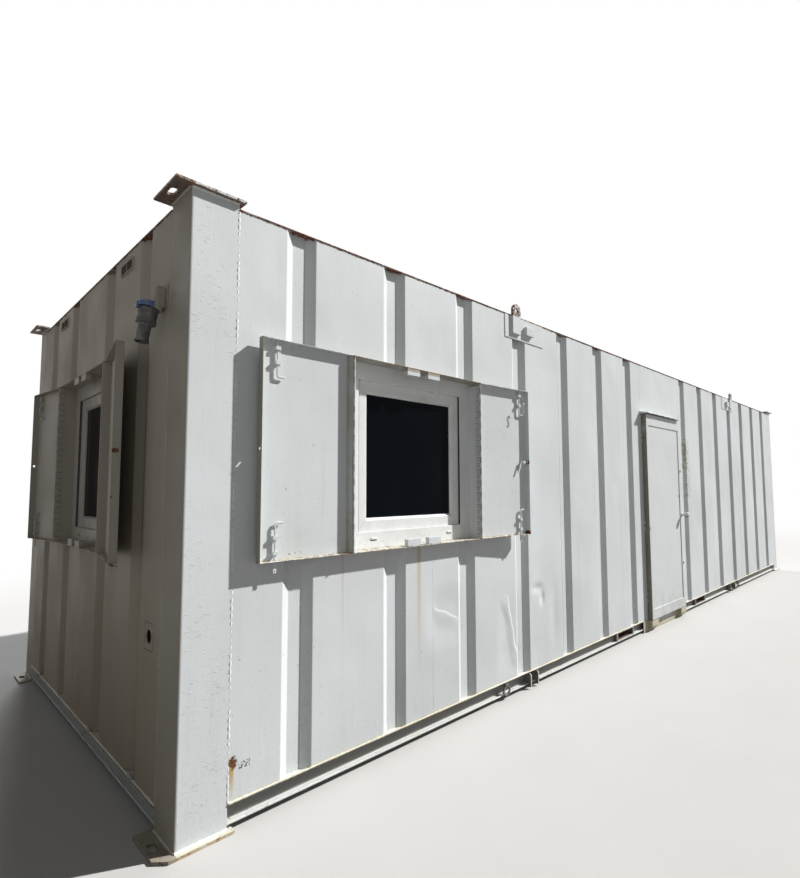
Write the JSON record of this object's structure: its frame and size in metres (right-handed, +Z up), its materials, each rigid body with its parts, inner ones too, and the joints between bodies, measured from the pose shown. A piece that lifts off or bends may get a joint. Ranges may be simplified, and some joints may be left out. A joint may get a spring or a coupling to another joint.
{
  "type": "portable site cabin",
  "caption": "Long steel site cabin with ribbed walls, slotted corner posts, lifting eyes, windows with hinged steel shutters and an outward-opening steel door.",
  "frame": {"origin": "outer corner of the near front post, on the ground, in the underside of its foot plate", "axes": "+X along the front wall away from the windowed end, +Y from the front wall to the back, +Z up"},
  "size_m": [9.9648, 3.206, 2.742],
  "materials": {
    "wall_paint": "satin off-white paint, weathered",
    "door_paint": "satin white paint",
    "fitting_paint": "satin white paint, worn",
    "sill_paint": "cream paint, stained",
    "trim_paint": "flaking white paint over rusty primer",
    "chassis_paint": "dull grey paint",
    "roof_sheet": "dull painted steel sheet",
    "lining_board": "plain faced board over insulation",
    "floor_board": "sheet floor on boards",
    "window_plastic": "gloss white",
    "window_glass": "dark reflective",
    "inlet_plastic": "gloss blue",
    "connector_plastic": "matt grey, ribbed"
  },
  "bodies": {
    "cabin": {"back_wall": "wall_paint", "base_rail_back": "wall_paint", "base_rail_far_end": "wall_paint", "base_rail_front": "wall_paint", "base_rail_near_end": "wall_paint", "ceiling": "lining_board", "corner_post_far_back": "wall_paint", "corner_post_far_front": "wall_paint", "corner_post_near_back": "wall_paint", "corner_post_near_front": "wall_paint", "door_frame": "door_paint", "door_hinges": "door_paint", "door_hood": "door_paint", "door_sill": "sill_paint", "end_vents": "wall_paint", "end_wall_far": "wall_paint", "end_wall_near": "wall_paint", "end_window_frame": "window_plastic", "end_window_glass": "window_glass", "end_window_sash": "window_plastic", "end_window_surround": "wall_paint", "eye_doublers": "wall_paint", "floor": "floor_board", "floor_joists": "chassis_paint", "fork_pockets": "chassis_paint", "front_wall_far": "wall_paint", "front_wall_near": "wall_paint", "front_wall_over_door": "wall_paint", "front_window_frame": "window_plastic", "front_window_glass": "window_glass", "front_window_sash": "window_plastic", "front_window_surround": "wall_paint", "inlet_connector": "connector_plastic", "lashing_lugs": "wall_paint", "lifting_eyes": "wall_paint", "lining_back": "lining_board", "lining_far_end": "lining_board", "lining_front_far": "lining_board", "lining_front_near": "lining_board", "lining_near_end": "lining_board", "lining_over_door": "lining_board", "power_inlet": "inlet_plastic", "roof": "roof_sheet", "roof_trim": "trim_paint"},
    "door": {"door_leaf": "door_paint", "door_handle": "fitting_paint", "door_locks": "fitting_paint"},
    "front_shutter_left": {"front_shutter_left": "wall_paint"},
    "front_shutter_right": {"front_shutter_right": "wall_paint"},
    "end_shutter_left": {"end_shutter_left": "wall_paint"},
    "end_shutter_right": {"end_shutter_right": "wall_paint"}
  },
  "joints": [
    {"name": "door_hinge", "type": "hinge", "parent": "cabin", "child": "door", "pos_m": [4.41, -0.007, 1.03], "axis": [0, 0, -1], "range_deg": [0, 100]},
    {"name": "front_shutter_left_hinge", "type": "hinge", "parent": "cabin", "child": "front_shutter_left", "pos_m": [0.796, -0.063, 1.59], "axis": [0, 0, 1], "range_deg": [0, 180]},
    {"name": "front_shutter_right_hinge", "type": "hinge", "parent": "cabin", "child": "front_shutter_right", "pos_m": [1.798, -0.063, 1.59], "axis": [0, 0, -1], "range_deg": [-4, 176]},
    {"name": "end_shutter_left_hinge", "type": "hinge", "parent": "cabin", "child": "end_shutter_left", "pos_m": [-0.063, 1.965, 1.59], "axis": [0, 0, 1], "range_deg": [-7, 173]},
    {"name": "end_shutter_right_hinge", "type": "hinge", "parent": "cabin", "child": "end_shutter_right", "pos_m": [-0.063, 0.963, 1.59], "axis": [0, 0, -1], "range_deg": [-9, 171]}
  ]
}
